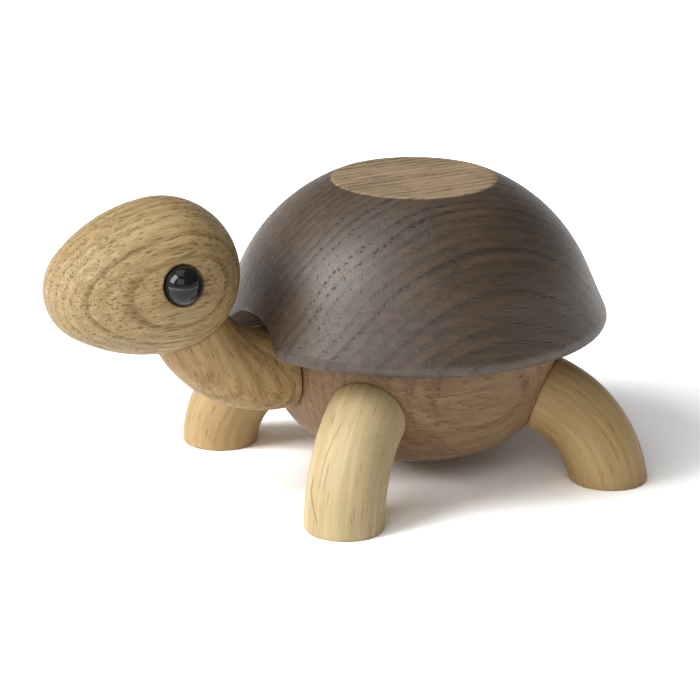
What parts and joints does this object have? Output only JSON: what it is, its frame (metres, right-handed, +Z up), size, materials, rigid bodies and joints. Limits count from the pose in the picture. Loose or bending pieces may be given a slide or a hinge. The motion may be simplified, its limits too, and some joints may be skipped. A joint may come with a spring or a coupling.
{
  "type": "turtle figurine",
  "caption": "Turned oak turtle figurine: domed smoked-oak shell that lifts off a dished body, bent legs with flat soles, and an egg-shaped head that turns on a bent neck.",
  "frame": {"origin": "on the floor under the middle of the overall length and width", "axes": "+Z up, the snout points to -Y, the turtle's left side is +X"},
  "size_m": [0.0908, 0.137, 0.072],
  "materials": {
    "body_oak": "oiled mid-brown oak, satin",
    "shell_smoked_oak": "smoked dark oak, satin",
    "neck_oak": "oiled tan oak, satin",
    "head_oak": "oiled golden oak, satin",
    "leg_oak": "oiled pale oak, satin",
    "eye_black": "polished black",
    "dowel_beech": "plain beech",
    "ring_rubber": "matt black rubber"
  },
  "bodies": {
    "body": {"body": "body_oak", "leg_front_left": "leg_oak", "leg_front_right": "leg_oak", "leg_hind_left": "leg_oak", "leg_hind_right": "leg_oak", "leg_front_left_dowel": "dowel_beech", "leg_front_right_dowel": "dowel_beech", "leg_hind_left_dowel": "dowel_beech", "leg_hind_right_dowel": "dowel_beech"},
    "shell": {"shell": "shell_smoked_oak"},
    "neck": {"neck": "neck_oak", "neck_dowel": "dowel_beech", "neck_ring": "ring_rubber", "head_dowel": "dowel_beech", "head_ring": "ring_rubber"},
    "head": {"head": "head_oak", "eye_left": "eye_black", "eye_right": "eye_black"}
  },
  "joints": [
    {"name": "shell_lift", "type": "slide", "parent": "body", "child": "shell", "axis": [0, 0, 1], "range_m": [0, 0.06]},
    {"name": "neck_swivel", "type": "hinge", "parent": "body", "child": "neck", "pos_m": [0, 0.02308, 0.0312], "axis": [0, -0.9951, -0.0993], "range_deg": [-75, 75]},
    {"name": "head_turn", "type": "hinge", "parent": "neck", "child": "head", "pos_m": [0, -0.04086, 0.05443], "axis": [0, -0.4403, 0.8979], "continuous": true}
  ]
}
